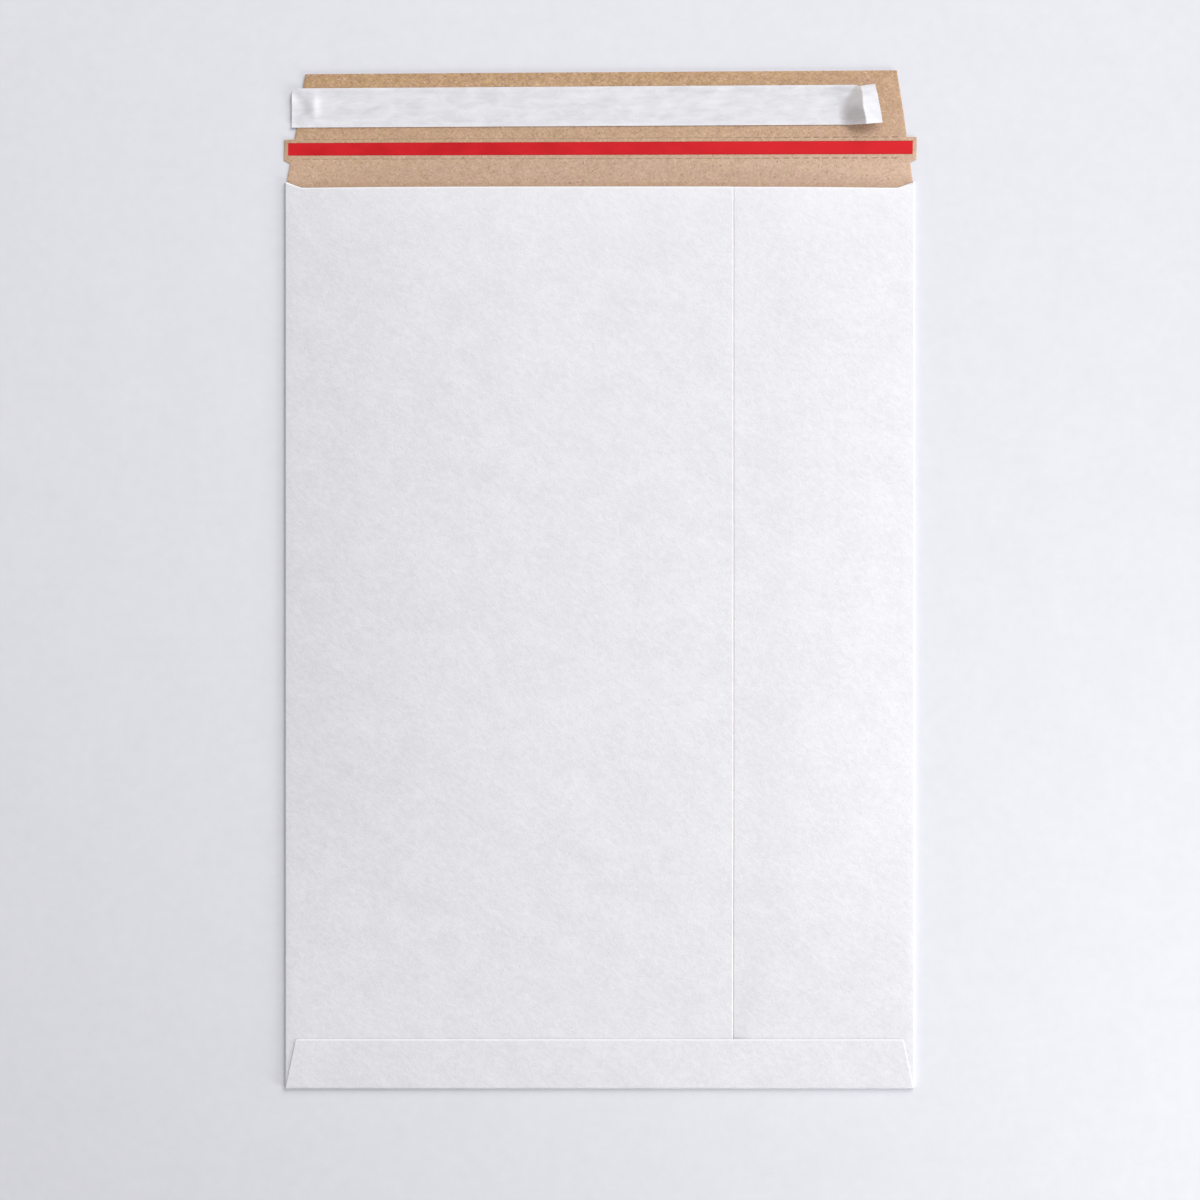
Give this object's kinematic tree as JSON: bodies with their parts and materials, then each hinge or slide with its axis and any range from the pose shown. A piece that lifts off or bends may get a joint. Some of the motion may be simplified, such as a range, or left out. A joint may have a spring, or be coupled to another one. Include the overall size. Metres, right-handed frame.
{
  "type": "calendar mailer envelope",
  "caption": "Flat board mailer for a wall calendar, white outside, kraft inside: lap-seamed pocket, glued bottom flap, hinged closing flap with tear tape and a lined adhesive strip.",
  "frame": {"origin": "middle of the address panel's underside, where the mailer lies on a table", "axes": "+Z out of the table, +Y along the mailer towards the closing flap, +X towards the right-hand side fold, seen with the seam side up"},
  "size_m": [0.342, 0.5493, 0.0091],
  "materials": {
    "white_board": "uncoated bleached outer ply, matt",
    "kraft_board": "unbleached brown inner ply, matt",
    "tear_tape": "red film tape, satin",
    "adhesive": "clear pressure-sensitive adhesive",
    "liner_paper": "siliconed release paper, light sheen"
  },
  "bodies": {
    "mailer": {"mailer_body": "white_board"},
    "flap": {"closing_flap": "kraft_board", "tear_tape": "tear_tape", "adhesive_band": "adhesive", "release_liner": "liner_paper"}
  },
  "joints": [
    {"name": "flap_hinge", "type": "hinge", "parent": "mailer", "child": "flap", "pos_m": [0, 0.245, 0.0052], "axis": [1, 0, 0], "range_deg": [0, 179]}
  ]
}
